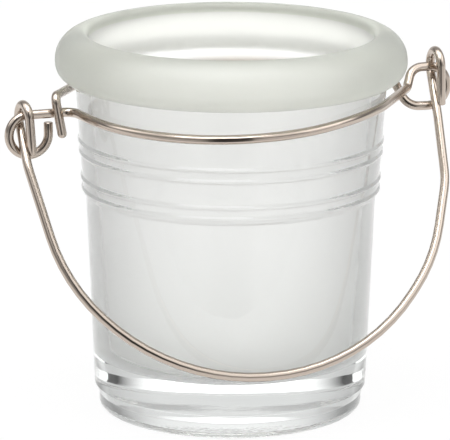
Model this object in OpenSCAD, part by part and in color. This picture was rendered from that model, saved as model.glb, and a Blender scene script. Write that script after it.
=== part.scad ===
// Glass votive holder with a wire neck ring and a swinging wire handle.
// Units are millimetres, +Z is up and the underside of the glass stands on Z = 0.
// The handle leans on the front of the glass, which faces -Y.

/* [Glass cup] */

// Overall height of the glass
cup_h = 87.6; // [74:0.2:100]
// Outside diameter of the rolled rim
rim_d = 80; // [70:0.5:94]
// Width of the rim, from the mouth to its outside
rim_w = 7.55; // [7:0.05:8.2]
// Radius of the top and outer side of the rim
rim_top_r = 6.3; // [6:0.05:6.6]
// Radius of the underside of the rim
rim_under_r = 4.8; // [4.4:0.05:5]
// How far the rim stands out over the neck
rim_overhang = 4.55; // [4.3:0.05:4.75]
// Drop in radius of the neck from the rim down to the step
neck_taper = 1.85; // [1.2:0.05:2.4]
// Width of the step below the raised bands
step_w = 0.55; // [0.3:0.05:0.9]
// Height of the slope of the step
step_h = 0.7; // [0.4:0.1:1.2]
// Drop in radius of the body from the step down to the foot
body_taper = 1.85; // [0:0.05:4]
// How far the foot is set in under the body
foot_in = 1; // [0.4:0.05:1.5]
// Height of the foot
foot_h = 3.8; // [3.2:0.1:5]
// Height of the slope between the foot and the body
foot_slope_h = 2.1; // [1:0.1:3]
// Radius of the rounded heel of the foot
heel_r = 2; // [1.5:0.1:2.6]
// Width of the ring that the glass stands on
foot_ring_w = 1; // [0.8:0.1:6]
// Depth of the shallow hollow inside the foot ring
hollow_h = 1.2; // [0.5:0.1:2]
// How far the side of the hollow slopes in
hollow_draft = 0.4; // [0.2:0.1:1.5]
// Thickness of the heavy clear base under the candle
floor_h = 12; // [10:0.2:20]
// Thickness of the glass beside the floor
floor_wall = 3.4; // [2.6:0.1:5]
// Corner radius between the bore and the floor
bore_corner_r = 4.6; // [2:0.1:6]

/* [Raised bands] */

// Distance from the rim down to the middle of the upper band
high_band_drop = 14.8; // [13:0.1:16]
// Distance from the upper band down to the lower band
band_pitch = 8.6; // [7:0.1:10]
// Distance from the lower band down to the foot of the step
step_drop = 2.9; // [2.6:0.1:4]
// Distance between the two beads of one band
bead_pitch = 2.6; // [2.2:0.1:3.2]
// Radius of the rounded face of a bead
bead_r = 0.6; // [0.5:0.05:0.8]
// How far a bead stands proud of the glass
bead_proud = 0.42; // [0.3:0.02:0.5]

/* [Neck wire] */

// Thickness of the wire both wire pieces are bent from
wire_d = 2.1; // [1.9:0.05:2.2]
// Clearance between the neck ring and the glass
neck_gap = 0.03; // [0.02:0.01:0.3]
// Drop of the ring below the rim, at four places round the front from the left
front_drop = [6, 6.25, 5.4, 3.45]; // [3.2:0.05:6.6]
// Drop of the ring below the rim, at four places round the back from the right
back_drop = [3.2, 3.5, 3.9, 3.9]; // [3:0.05:4.4]
// Distance of the open left eye from the neck ring
left_eye_out = 11.3; // [10.8:0.1:12.4]
// Drop of the left eye below the rim
left_eye_drop = 10; // [9.6:0.1:10.4]
// Centre line radius of the left eye
left_eye_r = 4.55; // [4.4:0.01:4.8]
// Distance of the full right eye from the neck ring
right_eye_out = 11.1; // [10.8:0.1:12]
// Drop of the right eye below the rim
right_eye_drop = 4.6; // [4.3:0.1:5]
// Centre line radius of the right eye
right_eye_r = 4.75; // [4.7:0.01:5]
// Bend radius where the wire turns from the neck to an eye
eye_root_r = 2.4; // [1.8:0.1:3]
// Length of the tail that hooks down over the left stem
tail_l = 9.6; // [7:0.1:12]

/* [Handle] */

// Height of the lowest part of the handle as it rests
bow_low_z = 15.3; // [12:0.1:22]
// Sideways set of the hand-bent handle
bow_shift = -1.4; // [-3:0.1:0]
// Bend radius across the lowest part of the handle
bow_low_r = 46.9; // [30:0.1:50]
// Bend radius of the sides of the handle
bow_side_r = 40.2; // [25:0.1:44]
// Lean of the handle wire where it passes through an eye
hook_lean = 38; // [36:0.5:40]
// Play of the left hook over the wire of its eye
left_hook_play = 0.7; // [0.65:0.05:0.8]
// Play of the right hook over the wire of its eye
right_hook_play = 1.1; // [1:0.05:1.2]
// Length of the cut end in front of an eye
hook_end_l = 8.2; // [6:0.1:10]
// Gap between the resting handle and the glass
rest_gap = 0.12; // [0.1:0.02:0.3]

/* [Hidden] */

$fn = 60;
curve_fn = 24;
bead_fn = 14;
wire_fn = 14;
bend_fn = 30;
bend_thin = 0.03;
bend_lap = 0.06;
seam = 0.3;

// Heights of the glass, from the rim down
rim_mid_z = cup_h - rim_top_r;
rim_low_z = rim_mid_z - rim_under_r;
high_band_z = rim_low_z - high_band_drop;
low_band_z = high_band_z - band_pitch;
step_z = low_band_z - step_drop;

// Radii of the glass, from the rim inwards
rim_r = rim_d / 2;
rim_top_x = rim_r - rim_top_r;
rim_under_x = rim_r - rim_under_r;
lip_r = rim_w - rim_top_r;
lip_z = cup_h - lip_r;
neck_r = rim_r - rim_overhang;
shoulder_r = neck_r - neck_taper;
body_low_z = foot_h + foot_slope_h;
body_low_r = shoulder_r - step_w - body_taper;
foot_r = body_low_r - foot_in;
floor_r = body_low_r - floor_wall;
hollow_r = foot_r - heel_r - foot_ring_w;

// Slopes of the walls, as the change of radius for each millimetre of height
neck_slope = neck_taper / (rim_low_z - step_z);
body_slope = body_taper / (step_z - body_low_z);
bore_slope = (rim_r - rim_w - floor_r) / (lip_z - floor_h);
bore_turn = atan(bore_slope);
corner_z = floor_h + bore_corner_r;
corner_x = floor_r + bore_slope * bore_corner_r - bore_corner_r / cos(bore_turn);

function body_at(z) = body_low_r + body_slope * (z - body_low_z);
function neck_at(z) = neck_r - neck_slope * (rim_low_z - z);
function bore_at(z) = floor_r + bore_slope * (z - floor_h);

// The ring round the neck is laid on a circle, as four equal sides in front and four behind
ring_r = neck_at(rim_low_z - back_drop[0]) + neck_gap + wire_d / 2;

// Angle round the glass from a point outside the ring to where a line from it touches the ring
function touch_turn(p) = acos(ring_r / norm([p[0], p[1]]));
function ring_corner(start, step, k, drop) = [
    ring_r / cos(step / 2) * cos(start + step * (k + 0.5)),
    ring_r / cos(step / 2) * sin(start + step * (k + 0.5)),
    rim_low_z - drop
];

// Each eye is bent round a square, and its two ends pass each other at the neck
left_end_up = 2.7;
right_end_in = 0.5;
cross_gap = 0.15;
left_eye_x = ring_r + left_eye_out;
left_eye_z = rim_low_z - left_eye_drop;
left_stem_z = left_eye_z + left_eye_r;
left_end_z = left_eye_z + left_end_up;
right_eye_x = ring_r + right_eye_out;
right_eye_z = rim_low_z - right_eye_drop;
right_eye_neck_x = right_eye_x - right_eye_r + right_end_in;
eye_cross_y = wire_d / 2 + cross_gap;

// Hand-set places where the wire leaves the ring for an eye or the tail
eye_front_root = [ring_r + 4.6, -4.3, rim_low_z - 3.9];
eye_back_root = [ring_r + 4.2, 3.8, rim_low_z - 3.5];
tail_top = [-ring_r - 5.8, -wire_d - cross_gap, rim_low_z - 1];
tail_run = [1.7, -0.45, -tail_l];
tip_in = 0.12;
left_root = [-ring_r - 1, 0, left_stem_z + 0.15];

// The four sides of the ring in front and behind share the turn between those places
front_from = 180 + touch_turn(left_root);
front_to = 360 + atan2(eye_front_root[1], eye_front_root[0]) - touch_turn(eye_front_root);
front_step = (front_to - front_from) / 4;
back_from = atan2(eye_back_root[1], eye_back_root[0]) + touch_turn(eye_back_root);
back_to = 360 + atan2(tail_top[1], tail_top[0]) - touch_turn(tail_top);
back_step = (back_to - back_from) / 4;

neck_points = [
    [-left_eye_x + left_eye_r, 0, left_end_z],
    [-left_eye_x + left_eye_r, 0, left_eye_z - left_eye_r],
    [-left_eye_x - left_eye_r, 0, left_eye_z - left_eye_r],
    [-left_eye_x - left_eye_r, 0, left_stem_z],
    left_root,
    for (k = [0 : 3]) ring_corner(front_from, front_step, k, front_drop[k]),
    eye_front_root,
    [right_eye_neck_x, -eye_cross_y, right_eye_z + right_eye_r],
    [right_eye_x + right_eye_r, 0.1, right_eye_z + right_eye_r],
    [right_eye_x + right_eye_r, -0.1, right_eye_z - right_eye_r],
    [right_eye_neck_x, eye_cross_y, right_eye_z - right_eye_r],
    eye_back_root,
    for (k = [0 : 3]) ring_corner(back_from, back_step, k, back_drop[k]),
    tail_top,
    tail_top + tail_run
];

// Bend radii, each a little under what its straights leave room for
stem_root_r = 3;
tail_bend_r = 1.8;
eye_ease = 0.05;
front_ease = 1.2;
back_ease = 2;
right_cross_r = right_eye_r - right_end_in - eye_ease;
right_outer_r = right_eye_r - 2 * eye_ease;
left_eye_bends = [left_eye_r, left_eye_r, left_eye_r - eye_ease];
right_eye_bends = [right_cross_r, right_outer_r, right_outer_r, right_cross_r];
front_bends = [for (k = [0 : 3]) ring_r - front_ease];
back_bends = [for (k = [0 : 3]) ring_r - back_ease];
neck_bends = concat(
    [0], left_eye_bends, [stem_root_r], front_bends,
    [eye_root_r], right_eye_bends, [eye_root_r], back_bends, [tail_bend_r, 0]
);

// Points where the hooks hang on the top of the eyes
left_hook_out = 1.6;
right_hook_out = 1.9;
left_hook_x = left_eye_x + left_hook_out;
right_hook_x = right_eye_x + right_hook_out;
left_hang_z = left_eye_z + sqrt(pow(left_eye_r, 2) - pow(left_hook_out, 2));
right_hang_z = right_eye_z + sqrt(pow(right_eye_r, 2) - pow(right_hook_out, 2));
left_hook_r = wire_d + left_hook_play;
right_hook_r = wire_d + right_hook_play;
right_lift = 0.5;

// Sideways slant of the hand-bent hooks, at the knee, the top, the front and the cut end
left_slant = [0.1, 0.3, 0.9, 1.6];
right_slant = [-0.9, 0.05, 0.15, 0.35];

// How far the wire lies behind and in front of the top of an eye
left_behind = left_hook_r + 0.8;
right_behind = right_hook_r + 0.65;
left_front_y = -left_hook_r - 0.1;
right_front_y = -right_hook_r - 0.2;

// A hook is three equal bends that turn the wire over the eye and back down its front
hook_turn = (180 + hook_lean) / 3;
hook_first = hook_lean - hook_turn;
hook_second = hook_lean - 2 * hook_turn;

function hook_side(bend_r) = 2 * bend_r * tan(hook_turn / 2) + 0.04;
function hook_back_y(front_y, bend_r) =
    front_y - hook_side(bend_r) * (sin(hook_first) + sin(hook_second));
function hook_base_z(hang_z, behind, front_y, bend_r) =
    hang_z + (hook_back_y(front_y, bend_r) - behind) / tan(hook_lean);
function leg_point(x, z, hang_z, behind) = [x, behind - (hang_z - z) * tan(hook_lean), z];

left_low = [
    -left_hook_x,
    hook_back_y(left_front_y, left_hook_r),
    hook_base_z(left_hang_z, left_behind, left_front_y, left_hook_r)
];
left_top = left_low + hook_side(left_hook_r) * [0, sin(hook_first), cos(hook_first)]
    + [left_slant[1], 0, 0];
left_front = [
    -left_hook_x + left_slant[2],
    left_front_y,
    left_low[2] + hook_side(left_hook_r) * (cos(hook_first) + cos(hook_second))
];
left_tip = [-left_hook_x + left_slant[3], left_front_y, left_hang_z - hook_end_l];

right_low = [
    right_hook_x,
    hook_back_y(right_front_y, right_hook_r),
    hook_base_z(right_hang_z + right_lift, right_behind, right_front_y, right_hook_r)
];
right_top = right_low + hook_side(right_hook_r) * [0, sin(hook_first), cos(hook_first)]
    + [right_slant[1], 0, 0];
right_front = [
    right_hook_x + right_slant[2],
    right_front_y,
    right_low[2] + hook_side(right_hook_r) * (cos(hook_first) + cos(hook_second))
];
right_tip = [right_hook_x + right_slant[3], right_front_y, right_hang_z - hook_end_l];

// Below the hooks both legs turn into the bow
knee_drop = 10.4;
left_knee_z = left_hang_z - knee_drop;
right_knee_z = right_hang_z - knee_drop;
left_knee_x = -left_hook_x + left_slant[0];
right_knee_x = right_hook_x + right_slant[0];
left_knee = leg_point(left_knee_x, left_knee_z, left_hang_z, left_behind);
right_knee = leg_point(right_knee_x, right_knee_z, right_hang_z + right_lift, right_behind);

// The bow is flat: it lies in the plane through both knees and the point that rests on the glass
bow_side_in = 6.15;
bow_low_in = 21.1;
bow_right_in = 1.7;
bow_side_share = 0.443;
bow_right_share = 0.736;
bow_rest = [bow_shift, -(body_at(bow_low_z) + wire_d / 2 + rest_gap), bow_low_z];
bow_normal = cross(right_knee - left_knee, bow_rest - left_knee);
bow_side_x = (left_hook_x + right_hook_x) / 2 - bow_side_in;
bow_low_x = bow_side_x - bow_low_in;
bow_side_z = bow_low_z + bow_side_share * ((left_knee_z + right_knee_z) / 2 - bow_low_z);
bow_right_z = bow_low_z + bow_right_share * (right_knee_z - bow_low_z);

function bow_point(x, z) = [
    x,
    left_knee[1] - ((x - left_knee[0]) * bow_normal[0] + (z - left_knee[2]) * bow_normal[2]) / bow_normal[1],
    z
];

bail_points = [
    left_tip,
    left_front,
    left_top,
    left_low,
    left_knee,
    bow_point(bow_shift - bow_side_x, bow_side_z),
    bow_point(bow_shift - bow_low_x, bow_low_z),
    bow_point(bow_shift + bow_low_x, bow_low_z),
    bow_point(bow_shift + bow_side_x, bow_side_z),
    bow_point(right_hook_x - bow_right_in, bow_right_z),
    right_knee,
    right_low,
    right_top,
    right_front,
    right_tip
];

left_hook_bends = [for (k = [0 : 2]) left_hook_r];
right_hook_bends = [for (k = [0 : 2]) right_hook_r];
knee_r = 12;
bow_right_r = 18;
bow_bends = [bow_side_r, bow_low_r, bow_low_r, bow_side_r, bow_right_r];
bail_bends = concat([0], left_hook_bends, [knee_r], bow_bends, [knee_r], right_hook_bends, [0]);

// Wire bending: a wire follows corner points, and each corner is rounded to its bend radius
function unit(v) = v / norm(v);
function way_in(p, i) = unit(p[i] - p[i - 1]);
function way_out(p, i) = unit(p[i + 1] - p[i]);
function is_corner(p, i) = i > 0 && i < len(p) - 1;
function turn_at(p, i) = is_corner(p, i) ? acos(way_in(p, i) * way_out(p, i)) : 0;
function lap(p, i) = is_corner(p, i) ? bend_lap : 0;
function wanted(p, r, i) = r[i] * tan(turn_at(p, i) / 2);

// A bend gives way where the straight beside it is too short
function room(p, r, i) = min(1, norm(p[i + 1] - p[i]) / (wanted(p, r, i) + wanted(p, r, i + 1)));
function bend_r(p, r, i) = r[i] * min(room(p, r, i - 1), room(p, r, i));
function setback(p, r, i) = is_corner(p, i) ? bend_r(p, r, i) * tan(turn_at(p, i) / 2) : 0;

module wire_straight(from, to) {
    run = to - from;
    flat = norm([run[0], run[1]]);
    translate(from)
        rotate([0, atan2(flat, run[2]), flat > 0 ? atan2(run[1], run[0]) : 0])
            cylinder(h = norm(run), d = wire_d, $fn = wire_fn);
}

module wire_bend(p, r, i) {
    along = way_in(p, i);
    start = p[i] - along * setback(p, r, i);
    inward = unit(way_out(p, i) - along);
    centre = p[i] + inward * bend_r(p, r, i) / cos(turn_at(p, i) / 2);
    outward = unit(start - centre);
    axis = cross(outward, along);
    multmatrix([
        [outward[0], along[0], axis[0], centre[0]],
        [outward[1], along[1], axis[1], centre[1]],
        [outward[2], along[2], axis[2], centre[2]],
        [0, 0, 0, 1]
    ])
        rotate_extrude(angle = turn_at(p, i), $fn = bend_fn)
            translate([bend_r(p, r, i), 0])
                circle(d = wire_d - bend_thin, $fn = wire_fn);
}

module bent_wire(p, r) {
    for (i = [0 : len(p) - 2])
        wire_straight(
            p[i] + way_out(p, i) * (setback(p, r, i) - lap(p, i)),
            p[i + 1] - way_out(p, i) * (setback(p, r, i + 1) - lap(p, i + 1))
        );
    for (i = [1 : len(p) - 2])
        wire_bend(p, r, i);
}

// Half section of the outside shape, filled in to the axis
module cup_outline() {
    polygon([
        [0, 0],
        [foot_r - heel_r, 0],
        [foot_r, heel_r],
        [foot_r, foot_h],
        [body_low_r, body_low_z],
        [body_at(step_z), step_z],
        [neck_at(step_z + step_h), step_z + step_h],
        [neck_at(rim_low_z + seam), rim_low_z + seam],
        [rim_under_x + seam, rim_mid_z],
        [rim_top_x, rim_mid_z],
        [rim_top_x, lip_z],
        [0, lip_z]
    ]);
    quarter_disc(foot_r - heel_r, heel_r, heel_r, 0, -1);
    for (z = [low_band_z, high_band_z])
        for (side = [-0.5, 0.5])
            bead_section(z + side * bead_pitch);
    quarter_disc(rim_top_x, rim_mid_z, rim_top_r, 0, 0);
    quarter_disc(rim_under_x, rim_mid_z, rim_under_r, 0, -1);
    quarter_disc(rim_top_x, lip_z, lip_r, -1, 0);
}

module bead_section(z) {
    translate([neck_at(z) - bead_r + bead_proud, z])
        circle(r = bead_r, $fn = bead_fn);
}

module quarter_disc(x, z, r, left, down) {
    translate([x, z])
        intersection() {
            circle(r = r, $fn = curve_fn);
            translate([left * (r + 1), down * (r + 1)])
                square(r + 1);
        }
}

// Half section of the space inside: tapered bore with a rounded corner at the floor
module bore_section() {
    polygon([
        [-1, floor_h],
        [corner_x, floor_h],
        [corner_x + bore_corner_r * cos(bore_turn), corner_z - bore_corner_r * sin(bore_turn)],
        [bore_at(lip_z), lip_z],
        [bore_at(lip_z), cup_h + 1],
        [-1, cup_h + 1]
    ]);
    translate([corner_x, corner_z])
        circle(r = bore_corner_r, $fn = curve_fn);
}

module hollow_section() {
    polygon([
        [-1, -1],
        [hollow_r, -1],
        [hollow_r, 0],
        [hollow_r - hollow_draft, hollow_h],
        [-1, hollow_h]
    ]);
}

module glass_cup() {
    color([0.86, 0.9, 0.88])
        rotate_extrude()
            difference() {
                cup_outline();
                bore_section();
                hollow_section();
            }
}

// One wire: open left eye, round the front of the neck, full right eye, round the back, then a
// tail with a rounded tip
module neck_wire() {
    color([0.72, 0.68, 0.63]) {
        bent_wire(neck_points, neck_bends);
        translate(tail_top + tail_run - unit(tail_run) * tip_in)
            sphere(d = wire_d - bend_thin, $fn = wire_fn);
    }
}

// One wire: a hook at each end joined by the bow
module bail() {
    color([0.72, 0.68, 0.63])
        bent_wire(bail_points, bail_bends);
}

glass_cup();
neck_wire();
bail();
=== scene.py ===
import math

import bpy
from mathutils import Matrix, Vector


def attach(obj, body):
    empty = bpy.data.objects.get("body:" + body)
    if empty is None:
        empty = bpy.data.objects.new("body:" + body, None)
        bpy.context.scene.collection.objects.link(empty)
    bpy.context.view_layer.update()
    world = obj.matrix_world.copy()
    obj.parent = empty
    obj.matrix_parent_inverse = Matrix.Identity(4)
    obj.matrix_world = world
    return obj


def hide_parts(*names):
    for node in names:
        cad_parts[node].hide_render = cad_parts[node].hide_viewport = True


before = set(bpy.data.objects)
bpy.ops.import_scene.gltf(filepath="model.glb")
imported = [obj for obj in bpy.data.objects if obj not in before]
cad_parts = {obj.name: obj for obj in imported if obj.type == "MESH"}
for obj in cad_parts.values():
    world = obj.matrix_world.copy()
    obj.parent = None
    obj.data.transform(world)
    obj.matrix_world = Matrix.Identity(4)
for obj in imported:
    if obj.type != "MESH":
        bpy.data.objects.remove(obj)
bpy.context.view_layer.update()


# The glass cup is pressed in one piece from pale soda glass, with a rolled rim, two pairs of
# raised beads and a thick base. After pressing, its rim and inside are etched to a satin frost,
# while the outside below the rim and the whole base stay clear and fire polished.
MM = 0.001
cup_height = 87.6 * MM
rim_radius = 39.98 * MM
rim_top_bend = 6.3 * MM
rim_under_bend = 4.25 * MM
neck_radius = 35.45 * MM
neck_crease = 0.3 * MM
rim_under_height = 76.5 * MM
mouth_radius = 32.45 * MM
lip_bend = 1.2 * MM
frost_edge = 2 * MM
bead_heights = [51.8 * MM, 54.4 * MM, 60.4 * MM, 63 * MM]
bead_half = 0.62 * MM
bead_proud = 0.5 * MM
bead_bend = 0.45 * MM
bead_foot_bend = 0.3 * MM
step_height = 50.2 * MM
step_rise = 0.7 * MM
step_bend = 0.25 * MM
shoulder_radius = 33.6 * MM
body_radius = 33.05 * MM
body_low_radius = 31.2 * MM
body_low_height = 5.9 * MM
foot_radius = 30.2 * MM
foot_height = 3.8 * MM
foot_bend = 0.5 * MM
heel_bend = 2 * MM
hollow_radius = 27.2 * MM
hollow_draft = 0.4 * MM
hollow_depth = 1.2 * MM
hollow_bend = 0.3 * MM
floor_height = 12 * MM
floor_radius = 27.8 * MM
floor_bend = 4.6 * MM
mouth_draft = 0.05 * MM
cup_sides = 240
cup_arc_step = math.radians(6)
pole_seam = 0.002 * MM
CLEAR, RIM, INSIDE = 0, 1, 2


def collar_radius(height):
    """Outside radius of the banded glass between the step and the rim."""
    share = (height - step_height) / (rim_under_height - step_height)
    return shoulder_radius + share * (neck_radius - shoulder_radius)


def bead_corners(height):
    """Foot, crest and foot of one raised bead, going up."""
    return [
        (collar_radius(height), height - bead_half, bead_foot_bend, CLEAR),
        (collar_radius(height) + bead_proud, height, bead_bend, CLEAR),
        (collar_radius(height), height + bead_half, bead_foot_bend, CLEAR),
    ]


def bent_line(name, points, bends, arc_step, marks):
    """Mesh edges through corner points, with what the trees need to round and mark them."""
    mesh = bpy.data.meshes.new(name)
    mesh.from_pydata(points, [(k, k + 1) for k in range(len(points) - 1)], [])
    steps = [1]
    for before, here, after in zip(points, points[1:], points[2:]):
        turn = (Vector(here) - Vector(before)).angle(Vector(after) - Vector(here))
        steps.append(max(1, round(turn / arc_step)))
    steps.append(1)
    marks = {"bend": bends, "steps": steps, **marks}
    for label, values in marks.items():
        kind = "INT" if label == "steps" else "FLOAT"
        mesh.attributes.new(label, kind, "POINT").data.foreach_set("value", values)
    piece = bpy.data.objects.new(name, mesh)
    bpy.context.scene.collection.objects.link(piece)
    return piece


def add_node(tree, kind, inputs=None, **settings):
    """Adds a node with its settings. Each input gets a value, a socket or a node's result."""
    node = tree.nodes.new(kind)
    for name, value in settings.items():
        setattr(node, name, value)
    for name, value in (inputs or {}).items():
        if isinstance(name, str):
            socket = [s for s in node.inputs if s.enabled and s.name == name][0]
        else:
            socket = node.inputs[name]
        if isinstance(value, bpy.types.Node):
            value = [s for s in value.outputs if s.enabled][0]
        if isinstance(value, bpy.types.NodeSocket):
            tree.links.new(value, socket)
        else:
            socket.default_value = value
    return node


def new_tree(name, sizes):
    """A geometry tree with its named inputs, and its input node."""
    tree = bpy.data.node_groups.new(name, "GeometryNodeTree")
    tree.interface.new_socket("Geometry", in_out="INPUT", socket_type="NodeSocketGeometry")
    tree.interface.new_socket("Geometry", in_out="OUTPUT", socket_type="NodeSocketGeometry")
    for label, kind in sizes.items():
        tree.interface.new_socket(label, in_out="INPUT", socket_type="NodeSocket" + kind)
    return tree, add_node(tree, "NodeGroupInput").outputs


def rounded_line(tree, line):
    """Turns mesh edges into a curve, and rounds each corner to its own bend radius."""
    bend = add_node(tree, "GeometryNodeInputNamedAttribute", {"Name": "bend"}, data_type="FLOAT")
    steps = add_node(tree, "GeometryNodeInputNamedAttribute", {"Name": "steps"}, data_type="INT")
    curve = add_node(tree, "GeometryNodeMeshToCurve", {"Mesh": line})
    sizes = {
        "Curve": curve,
        "Radius": bend,
        "Count": steps,
        "Limit Radius": True,
    }
    return add_node(tree, "GeometryNodeFilletCurve", sizes, mode="POLY")


def shaped(piece, tree, sizes):
    """Gives the piece the mesh that the tree makes of it, with the tree's inputs set."""
    modifier = piece.modifiers.new(tree.name, "NODES")
    modifier.node_group = tree
    for item in tree.interface.items_tree:
        if item.in_out == "INPUT" and item.name in sizes:
            modifier[item.identifier] = sizes[item.name]
    graph = bpy.context.evaluated_depsgraph_get()
    done = bpy.data.meshes.new_from_object(
        piece.evaluated_get(graph), preserve_all_data_layers=True, depsgraph=graph
    )
    piece.modifiers.clear()
    piece.data = done
    return piece


def turned_tree():
    """Turns an outline round the axis of the glass, with one finish for each of its zones."""
    tree, given = new_tree("turned_glass", {
        "Turning radius": "Float", "Sides": "Int",
        "Clear": "Material", "Rim": "Material", "Inside": "Material",
    })
    ring = add_node(tree, "GeometryNodeCurvePrimitiveCircle", {
        "Radius": given["Turning radius"], "Resolution": given["Sides"],
    })
    shell = add_node(tree, "GeometryNodeCurveToMesh", {
        "Curve": ring, "Profile Curve": rounded_line(tree, given["Geometry"]),
    })
    shell = add_node(tree, "GeometryNodeFlipFaces", {"Mesh": shell})
    closed = add_node(tree, "GeometryNodeMergeByDistance", {
        "Geometry": shell, "Distance": pole_seam,
    })
    smooth = add_node(tree, "GeometryNodeSetShadeSmooth", {"Geometry": closed})
    real = add_node(tree, "GeometryNodeRealizeInstances", {"Geometry": smooth})
    zone = add_node(tree, "GeometryNodeInputNamedAttribute", {"Name": "zone"}, data_type="FLOAT")
    shown = real
    for label, above in [("Clear", -1), ("Rim", CLEAR + 0.4), ("Inside", RIM + 0.6)]:
        chosen = add_node(tree, "FunctionNodeCompare", {
            "A": zone, "B": above,
        }, operation="GREATER_THAN")
        shown = add_node(tree, "GeometryNodeSetMaterial", {
            "Geometry": shown, "Selection": chosen, "Material": given[label],
        })
    add_node(tree, "NodeGroupOutput", {"Geometry": shown})
    return tree


def linear(hex_colour):
    """An sRGB hex colour as linear red, green, blue and alpha."""
    parts = [int(hex_colour[i:i + 2], 16) / 255 for i in (1, 3, 5)]
    return [p / 12.92 if p <= 0.04045 else ((p + 0.055) / 1.055) ** 2.4 for p in parts] + [1]


def new_material(name):
    """An empty node material, its tree and its output node."""
    material = bpy.data.materials.new(name)
    material.use_nodes = True
    material.node_tree.nodes.clear()
    return material, material.node_tree, add_node(material.node_tree, "ShaderNodeOutputMaterial")


def clear_pressed_glass():
    """Fire-polished soda glass, glossy, with the ripple of a pressing and a stippled foot."""
    material, tree, output = new_material("clear_pressed_glass")
    place = add_node(tree, "ShaderNodeTexCoord").outputs["Object"]
    height = add_node(tree, "ShaderNodeSeparateXYZ", {"Vector": place}).outputs["Z"]
    # The foot carries a faint stipple, with dots about 1.1 mm apart
    stipple = add_node(tree, "ShaderNodeTexVoronoi", {"Vector": place, "Scale": 1 / (1.1 * MM)})
    foot_only = add_node(tree, "ShaderNodeMapRange", {
        "Value": height, "From Min": foot_height - 1 * MM, "From Max": foot_height,
        "To Min": 0.03, "To Max": 0.0,
    })
    stippling = add_node(tree, "ShaderNodeBump", {
        "Height": stipple.outputs["Distance"], "Strength": foot_only, "Distance": 0.3 * MM,
    })
    # The mould leaves a ripple about 9 mm long, and handling leaves faint cloudy patches
    ripple = add_node(tree, "ShaderNodeTexNoise", {
        "Vector": place, "Scale": 1 / (9 * MM), "Detail": 1.0, "Roughness": 0.4,
    })
    bump = add_node(tree, "ShaderNodeBump", {
        "Height": ripple, "Strength": 0.25, "Distance": 0.25 * MM, "Normal": stippling,
    })
    grease = add_node(tree, "ShaderNodeTexNoise", {"Vector": place, "Scale": 1 / (14 * MM)})
    gloss = add_node(tree, "ShaderNodeMapRange", {
        "Value": grease, "To Min": 0.01, "To Max": 0.05,
    })
    glass = add_node(tree, "ShaderNodeBsdfPrincipled", {
        "Base Color": linear("#FBFDFC"), "Roughness": gloss,
        "IOR": 1.5, "Transmission Weight": 1.0, "Normal": bump,
    })
    tree.links.new(glass.outputs["BSDF"], output.inputs["Surface"])
    return material


def etched_glass(name, thin_hex, full_hex, roughness, clearness):
    """Acid-etched glass: a fine even frost that lets the light through but not the view."""
    material, tree, output = new_material(name)
    place = add_node(tree, "ShaderNodeTexCoord").outputs["Object"]
    # Real etch grain is under 0.1 mm, so it is drawn at 0.5 mm to show at all
    grain = add_node(tree, "ShaderNodeTexNoise", {
        "Vector": place, "Scale": 1 / (0.5 * MM), "Detail": 2.0,
    })
    cloud = add_node(tree, "ShaderNodeTexNoise", {
        "Vector": place, "Scale": 1 / (11 * MM), "Detail": 2.0,
    })
    tint = add_node(tree, "ShaderNodeMix", {
        "Factor": cloud, "A": linear(thin_hex), "B": linear(full_hex),
    }, data_type="RGBA")
    # Painted shade: the frost is drawn a little greyer towards the floor of the cup, standing in
    # for the dimmer light deep inside it
    height = add_node(tree, "ShaderNodeSeparateXYZ", {"Vector": place}).outputs["Z"]
    painted_floor_shade = add_node(tree, "ShaderNodeMapRange", {
        "Value": height, "From Min": floor_height, "From Max": cup_height / 2,
        "To Min": 1.0, "To Max": 0.0,
    })
    tint = add_node(tree, "ShaderNodeMix", {
        "Factor": painted_floor_shade, "A": tint, "B": linear("#F3F3F1"),
    }, data_type="RGBA")
    frost = add_node(tree, "ShaderNodeMapRange", {
        "Value": grain, "To Min": roughness - 0.08, "To Max": roughness + 0.08,
    })
    bump = add_node(tree, "ShaderNodeBump", {
        "Height": grain, "Strength": 0.12, "Distance": 0.05 * MM,
    })
    glass = add_node(tree, "ShaderNodeBsdfPrincipled", {
        "Base Color": tint, "Roughness": frost,
        "IOR": 1.5, "Transmission Weight": clearness, "Normal": bump,
    })
    tree.links.new(glass.outputs["BSDF"], output.inputs["Surface"])
    return material


cup_corners = [
    (0, hollow_depth, 0, CLEAR),
    (hollow_radius - hollow_draft, hollow_depth, hollow_bend, CLEAR),
    (hollow_radius, 0, hollow_bend, CLEAR),
    (foot_radius, 0, heel_bend, CLEAR),
    (foot_radius, foot_height, foot_bend, CLEAR),
    (body_low_radius, body_low_height, foot_bend, CLEAR),
    (body_radius, step_height, step_bend, CLEAR),
    (collar_radius(step_height + step_rise), step_height + step_rise, step_bend, CLEAR),
]
for bead_height in bead_heights:
    cup_corners += bead_corners(bead_height)
cup_corners += [
    (neck_radius, rim_under_height, neck_crease, CLEAR),
    (rim_radius, rim_under_height, rim_under_bend, RIM),
    (rim_radius, cup_height, rim_top_bend, RIM),
    (mouth_radius, cup_height, lip_bend, RIM),
    (mouth_radius - mouth_draft, cup_height - frost_edge, 0, INSIDE),
    (floor_radius, floor_height, floor_bend, INSIDE),
    (0, floor_height, 0, INSIDE),
]
cup = bent_line(
    "pressed_glass_cup",
    [(radius - rim_radius, -height, 0) for radius, height, bend, zone in cup_corners],
    [bend for radius, height, bend, zone in cup_corners],
    cup_arc_step,
    {"zone": [zone for radius, height, bend, zone in cup_corners]},
)
shaped(cup, turned_tree(), {
    "Turning radius": rim_radius,
    "Sides": cup_sides,
    "Clear": clear_pressed_glass(),
    "Rim": etched_glass("etched_glass_rim", "#EEF1E7", "#F4F7ED", 0.45, 0.85),
    "Inside": etched_glass("etched_glass_inside", "#FDFCFB", "#FFFEFD", 0.6, 0.85),
})
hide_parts("glass_cup")
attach(cup, "holder")


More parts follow.
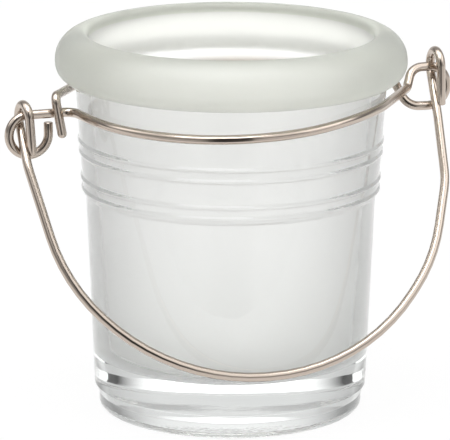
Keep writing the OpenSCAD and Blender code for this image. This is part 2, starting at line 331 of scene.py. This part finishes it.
# The neck wire is one length of 2.1 mm nickel-plated spring wire. It is bent cold into an open
# eye, a front half ring, a full eye and a back half ring, and its tail hooks down over the stem
# of the open eye, which locks the ring in the groove under the rim.
wire_radius = 1.05 * MM
wire_sides = 28
wire_arc_step = math.radians(5)
ring_radius = 36.305 * MM
ring_front_height = [70.5 * MM, 70.25 * MM, 71.1 * MM, 73.05 * MM]
ring_back_height = [73.3 * MM, 73 * MM, 72.6 * MM, 72.6 * MM]


def drawn_wire_tree():
    """A round wire along a bent line, with its lengthwise place kept for the drawing lines."""
    tree, given = new_tree("drawn_wire", {
        "Wire radius": "Float", "Section sides": "Int", "Finish": "Material",
    })
    girth = add_node(tree, "GeometryNodeInputNamedAttribute", {"Name": "girth"}, data_type="FLOAT")
    length = add_node(tree, "GeometryNodeSplineParameter").outputs["Length"]
    path = add_node(tree, "GeometryNodeStoreNamedAttribute", {
        "Geometry": rounded_line(tree, given["Geometry"]), "Name": "along", "Value": length,
    }, data_type="FLOAT", domain="POINT")
    section = add_node(tree, "GeometryNodeCurvePrimitiveCircle", {
        "Radius": given["Wire radius"], "Resolution": given["Section sides"],
    })
    marked = add_node(tree, "GeometryNodeStoreNamedAttribute", {
        "Geometry": section, "Name": "section",
        "Value": add_node(tree, "GeometryNodeInputPosition"),
    }, data_type="FLOAT_VECTOR", domain="POINT")
    tube = add_node(tree, "GeometryNodeCurveToMesh", {
        "Curve": path, "Profile Curve": marked, "Scale": girth, "Fill Caps": True,
    })
    smooth = add_node(tree, "GeometryNodeSetShadeSmooth", {"Geometry": tube})
    real = add_node(tree, "GeometryNodeRealizeInstances", {"Geometry": smooth})
    shown = add_node(tree, "GeometryNodeSetMaterial", {
        "Geometry": real, "Material": given["Finish"],
    })
    add_node(tree, "NodeGroupOutput", {"Geometry": shown})
    return tree


def nickel_plated_wire():
    """Satin nickel over drawn steel: warm grey, with fine bright and dark drawing lines."""
    material, tree, output = new_material("nickel_plated_wire")
    section = add_node(tree, "ShaderNodeAttribute", attribute_name="section").outputs["Vector"]
    along = add_node(tree, "ShaderNodeAttribute", attribute_name="along").outputs["Fac"]
    across = add_node(tree, "ShaderNodeSeparateXYZ", {"Vector": section})
    # A drawing line runs on for about 25 mm and is drawn 0.25 mm wide, wider than a real one
    stretched = add_node(tree, "ShaderNodeMath", {0: along, 1: 0.01}, operation="MULTIPLY")
    place = add_node(tree, "ShaderNodeCombineXYZ", {
        "X": across.outputs["X"], "Y": across.outputs["Y"], "Z": stretched,
    })
    lines = add_node(tree, "ShaderNodeTexNoise", {
        "Vector": place, "Scale": 1 / (0.25 * MM), "Detail": 3.0,
    })
    tarnish = add_node(tree, "ShaderNodeTexNoise", {
        "Vector": add_node(tree, "ShaderNodeTexCoord").outputs["Object"],
        "Scale": 1 / (6 * MM), "Detail": 2.0,
    })
    streak = add_node(tree, "ShaderNodeMix", {
        "Factor": lines, "A": linear("#AFA094"), "B": linear("#DACEC3"),
    }, data_type="RGBA")
    plate = add_node(tree, "ShaderNodeMix", {
        "Factor": tarnish, "A": streak, "B": linear("#C1B5A9"),
    }, data_type="RGBA")
    satin = add_node(tree, "ShaderNodeMapRange", {
        "Value": lines, "To Min": 0.10, "To Max": 0.24,
    })
    bump = add_node(tree, "ShaderNodeBump", {
        "Height": lines, "Strength": 0.2, "Distance": 0.03 * MM,
    })
    metal = add_node(tree, "ShaderNodeBsdfPrincipled", {
        "Base Color": plate, "Metallic": 1.0,
        "Roughness": satin, "Normal": bump,
    })
    tree.links.new(metal.outputs["BSDF"], output.inputs["Surface"])
    return material


def ring_corners(first, turn, heights):
    """Corners of a half ring whose four sides lie close round the neck, from a first angle."""
    reach = ring_radius / math.cos(math.radians(turn / 2))
    corners = []
    for k, height in enumerate(heights):
        angle = math.radians(first + turn * (k + 0.5))
        corners.append((reach * math.cos(angle), reach * math.sin(angle), height))
    return corners


def millimetres(*corners):
    """Corners that are given in millimetres, as metres."""
    return [tuple(value * MM for value in corner) for corner in corners]


def cut_end(points, bends, girths, steps):
    """Adds points before the last one, where the wire narrows to its cut or rounded end."""
    tip, before = Vector(points[-1]), Vector(points[-2])
    back = (before - tip).normalized()
    end_points = [tuple(tip + back * inward) for inward, girth in steps]
    end_girths = [girth for inward, girth in steps]
    return points[:-1] + end_points, bends[:-1] + [0] * len(steps), girths[:-1] + end_girths


def wire_piece(name, corners, bends, ends):
    """Bends one wire through its corners, with the given shape for its two ends."""
    points, radii, girths = list(corners), list(bends), [1] * len(corners)
    for steps in ends:
        points, radii, girths = cut_end(points[::-1], radii[::-1], girths[::-1], steps)
    piece = bent_line(name, points, radii, wire_arc_step, {"girth": girths})
    return shaped(piece, wire_tree, {
        "Wire radius": wire_radius, "Section sides": wire_sides, "Finish": wire_finish,
    })


wire_tree = drawn_wire_tree()
wire_finish = nickel_plated_wire()
snipped = [(0.22 * MM, 1), (0.06 * MM, 0.93), (0, 0.8)]
domed = [(1.05 * MM, 1), (0.62 * MM, 0.92), (0.3 * MM, 0.72), (0.1 * MM, 0.44), (0, 0.12)]
neck_corners = (
    millimetres((-43.055, 0, 69.2), (-43.055, 0, 61.95), (-52.155, 0, 61.95),
                (-52.155, 0, 71.05), (-37.305, 0, 71.2))
    + ring_corners(193.32, 33.11, ring_front_height)
    + millimetres((40.905, -4.3, 72.6), (43.155, -1.2, 76.65), (52.155, 0.1, 76.65),
                  (52.155, -0.1, 67.15), (43.155, 1.2, 67.15), (40.505, 3.8, 73))
    + ring_corners(31.93, 30.27, ring_back_height)
    + millimetres((-42.105, -2.25, 75.5), (-40.405, -2.7, 65.9))
)
eye_bends = [4.55, 4.55, 4.5, 3]
full_eye_bends = [2.4, 4.2, 4.65, 4.65, 4.2, 2.4]
neck_bends = [
    bend * MM
    for bend in [0] + eye_bends + [35.1] * 4 + full_eye_bends + [34.3] * 4 + [1.8, 0]
]
neck_wire = wire_piece("bent_neck_wire", neck_corners, neck_bends, [snipped, domed])
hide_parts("neck_wire")
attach(neck_wire, "holder")


# The handle is one length of the same wire, bent into a shallow bow with a hook at each end.
# The hooks hang over the tops of the two eyes and their cut ends point down, so the handle
# swings freely and rests on the front of the glass.
handle_corners = millimetres(
    (-47.605, -2.9, 62.559), (-48.305, -2.9, 72.73), (-48.905, 1.07, 73.969),
    (-49.205, 3.435, 70.549), (-49.105, -4.525, 60.359), (-44.505, -18.774, 36.478),
    (-23.405, -31.999, 15.3), (20.605, -33.526, 15.3), (41.705, -21.764, 36.478),
    (47.605, -12.512, 52.507), (48.405, -4.666, 65.853), (49.305, 3.832, 76.73),
    (49.355, 1.131, 80.634), (49.455, -3.4, 79.22), (49.655, -3.4, 68.053),
)
handle_bends = [
    bend * MM
    for bend in [0] + [2.8] * 3 + [12, 40.2, 46.9, 46.9, 40.2, 18, 12] + [3.2] * 3 + [0]
]
handle = wire_piece("bent_handle", handle_corners, handle_bends, [snipped, snipped])
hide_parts("bail")
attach(handle, "handle")


# The studio: the holder stands on white paper before a bright backdrop, with a softbox on the
# right and one overhead. The camera sees plain white. The dark gaps beside and over the
# backdrop and round the camera draw the dark lines in the glass and along the wire.
view_direction = Vector((0.2954, 0.9248, -0.2397)).normalized()
camera_place = Vector((-0.2888, -0.8999, 0.2768))
camera_roll = 0.0034
picture_lens = 340.4
film_width = 36
camera_data = bpy.data.cameras.new("camera")
camera_data.sensor_fit = "HORIZONTAL"
camera_data.sensor_width = film_width
camera_data.lens = picture_lens
camera = bpy.data.objects.new("camera", camera_data)
camera.matrix_world = (
    Matrix.Translation(camera_place)
    @ view_direction.to_track_quat("-Z", "Y").to_matrix().to_4x4()
    @ Matrix.Rotation(camera_roll, 4, "Z")
)
bpy.context.scene.collection.objects.link(camera)
bpy.context.scene.camera = camera


def white_paper():
    """The floor: matt white paper that the camera sees as white, with a faint soft shadow."""
    material, tree, output = new_material("white_paper")
    rays = add_node(tree, "ShaderNodeLightPath").outputs
    fibre = add_node(tree, "ShaderNodeTexNoise", {
        "Vector": add_node(tree, "ShaderNodeTexCoord").outputs["Object"], "Scale": 40.0,
    })
    tone = add_node(tree, "ShaderNodeMix", {
        "Factor": fibre, "A": linear("#EDEDED"), "B": linear("#F4F4F4"),
    }, data_type="RGBA")
    paper = add_node(tree, "ShaderNodeBsdfDiffuse", {"Color": tone})
    glow = add_node(tree, "ShaderNodeEmission", {"Strength": 1.0})
    seen = add_node(tree, "ShaderNodeMath", {
        0: rays["Is Camera Ray"], 1: rays["Is Transmission Ray"],
    }, operation="MAXIMUM")
    seen = add_node(tree, "ShaderNodeMath", {
        0: seen, 1: rays["Is Glossy Ray"],
    }, operation="MAXIMUM")
    share = add_node(tree, "ShaderNodeMath", {
        0: seen, 1: paper_white_share,
    }, operation="MULTIPLY")
    mixed = add_node(tree, "ShaderNodeMixShader", {
        "Fac": share, 1: paper, 2: glow,
    })
    tree.links.new(mixed.outputs["Shader"], output.inputs["Surface"])
    return material


paper_white_share = 0.94
# The paper ends 0.1 m in front of the holder, so the wire reflects the dark gap beyond it
floor_front = -0.1
floor_back = 1.5
floor_side = 1.5
floor_mesh = bpy.data.meshes.new("white_sweep")
floor_mesh.from_pydata(
    [
        (-floor_side, floor_front, 0), (floor_side, floor_front, 0),
        (floor_side, floor_back, 0), (-floor_side, floor_back, 0),
    ],
    [], [(0, 1, 2, 3)],
)
floor_mesh.materials.append(white_paper())
floor = bpy.data.objects.new("white_sweep", floor_mesh)
floor.rotation_euler.z = -math.atan2(view_direction.x, view_direction.y)
bpy.context.scene.collection.objects.link(floor)
floor.visible_transmission = False


def soft_band(tree, value, edges):
    """One between the two middle edges, falling off to nothing at the two outer ones."""
    rise = add_node(tree, "ShaderNodeMapRange", {
        "Value": value, "From Min": math.radians(edges[0]), "From Max": math.radians(edges[1]),
    })
    fall = add_node(tree, "ShaderNodeMapRange", {
        "Value": value, "From Min": math.radians(edges[2]), "From Max": math.radians(edges[3]),
        "To Min": 1.0, "To Max": 0.0,
    })
    return add_node(tree, "ShaderNodeMath", {0: rise, 1: fall}, operation="MINIMUM")


def studio_world(back, right):
    """White backdrop and walls, with dark gaps beside it, over it and round the camera."""
    world = bpy.data.worlds.new("white_studio")
    world.use_nodes = True
    tree = world.node_tree
    tree.nodes.clear()
    rays = add_node(tree, "ShaderNodeLightPath").outputs
    toward = add_node(tree, "ShaderNodeTexCoord").outputs["Generated"]
    height = add_node(tree, "ShaderNodeSeparateXYZ", {"Vector": toward}).outputs["Z"]
    ahead = add_node(tree, "ShaderNodeVectorMath", {0: toward, 1: back}, operation="DOT_PRODUCT")
    ahead = ahead.outputs["Value"]
    side = add_node(tree, "ShaderNodeVectorMath", {0: toward, 1: right}, operation="DOT_PRODUCT")
    side = side.outputs["Value"]
    aside = add_node(tree, "ShaderNodeMath", {0: side}, operation="ABSOLUTE")
    turn = add_node(tree, "ShaderNodeMath", {0: aside, 1: ahead}, operation="ARCTAN2")
    over = add_node(tree, "ShaderNodeMath", {0: height, 1: ahead}, operation="ARCTAN2")
    side_depth = add_node(tree, "ShaderNodeMapRange", {
        "Value": height, "From Min": horizon_edge, "From Max": 0.0,
        "To Min": side_gap_low_depth, "To Max": side_gap_high_depth,
    })
    camera_depth = add_node(tree, "ShaderNodeMapRange", {
        "Value": height, "From Min": 0.8, "From Max": 0.95,
        "To Min": camera_gap_depth, "To Max": 0.0,
    })
    gaps = [
        (soft_band(tree, turn, side_gap), side_depth),
        (soft_band(tree, over, top_gap), top_gap_depth),
        (soft_band(tree, turn, camera_gap), camera_depth),
    ]
    wall = add_node(tree, "ShaderNodeMapRange", {
        "Value": height, "From Min": horizon_edge, "From Max": 0.0,
        "To Min": 1.0, "To Max": wall_light,
    })
    dome = add_node(tree, "ShaderNodeMapRange", {
        "Value": height, "From Min": 0.3, "From Max": 0.55, "To Min": 0.0,
        "To Max": dome_light - wall_light,
    })
    light = add_node(tree, "ShaderNodeMath", {0: wall, 1: dome}, operation="ADD")
    behind = add_node(tree, "ShaderNodeMapRange", {
        "Value": ahead, "From Min": -0.1, "From Max": 0.4, "To Min": 1.0, "To Max": backdrop_light,
    })
    light = add_node(tree, "ShaderNodeMath", {0: light, 1: behind}, operation="MULTIPLY")
    table = add_node(tree, "ShaderNodeMapRange", {
        "Value": height, "From Min": -0.5, "From Max": -0.3,
        "To Min": table_light, "To Max": 1.0,
    })
    light = add_node(tree, "ShaderNodeMath", {0: light, 1: table}, operation="MULTIPLY")
    front = add_node(tree, "ShaderNodeMapRange", {
        "Value": ahead, "From Min": -0.1, "From Max": -0.3, "To Min": 0.0, "To Max": 1.0,
    })
    panels = add_node(tree, "ShaderNodeMapRange", {
        "Value": side, "From Min": -0.05, "From Max": 0.05,
        "To Min": left_light, "To Max": right_light,
    })
    panels = add_node(tree, "ShaderNodeMix", {
        "Factor": front, "A": 1.0, "B": panels,
    }, data_type="FLOAT")
    light = add_node(tree, "ShaderNodeMath", {0: light, 1: panels}, operation="MULTIPLY")
    for gap, depth in gaps:
        gap = add_node(tree, "ShaderNodeMath", {0: gap, 1: depth}, operation="MULTIPLY")
        left = add_node(tree, "ShaderNodeMath", {0: 1.0, 1: gap}, operation="SUBTRACT")
        light = add_node(tree, "ShaderNodeMath", {0: light, 1: left}, operation="MULTIPLY")
    white = (1, 1, 1, 1)
    studio = add_node(tree, "ShaderNodeBackground", {"Color": white, "Strength": light})
    plain = add_node(tree, "ShaderNodeBackground", {"Color": white, "Strength": 1.0})
    mixed = add_node(tree, "ShaderNodeMixShader", {
        "Fac": rays["Is Camera Ray"], 1: studio, 2: plain,
    })
    output = add_node(tree, "ShaderNodeOutputWorld")
    tree.links.new(mixed.outputs["Shader"], output.inputs["Surface"])
    return world


backdrop_light = 1.5
table_light = 0.9
wall_light = 0.5
dome_light = 1.6
left_light = 0.62
right_light = 0.82
horizon_edge = -0.04
# Each gap starts, is full, ends being full and ends, in degrees from straight behind
side_gap = [22, 46, 55, 56.5]
side_gap_low_depth = 1.0
side_gap_high_depth = 0.25
top_gap = [18, 32, 66, 78]
top_gap_depth = 0.8
camera_gap = [158, 168, 190, 200]
camera_gap_depth = 0.9
backward = Vector((view_direction.x, view_direction.y, 0)).normalized()
bpy.context.scene.world = studio_world(backward, backward.cross(Vector((0, 0, 1))))


def softbox(name, place, width, height, power):
    """A rectangular lamp that faces the middle of the holder."""
    lamp = bpy.data.lights.new(name, "AREA")
    lamp.shape = "RECTANGLE"
    lamp.size = width
    lamp.size_y = height
    lamp.energy = power
    box = bpy.data.objects.new(name, lamp)
    aim = Vector((0, 0, cup_height / 2)) - Vector(place)
    box.matrix_world = (
        Matrix.Translation(place) @ aim.to_track_quat("-Z", "Y").to_matrix().to_4x4()
    )
    bpy.context.scene.collection.objects.link(box)


softbox("key_softbox", (0.80, -0.70, 0.55), width=0.6, height=0.9, power=1.0)
softbox("top_softbox", (-0.25, -0.35, 1.15), width=0.9, height=0.9, power=9.0)
bpy.context.scene.view_settings.view_transform = "Standard"
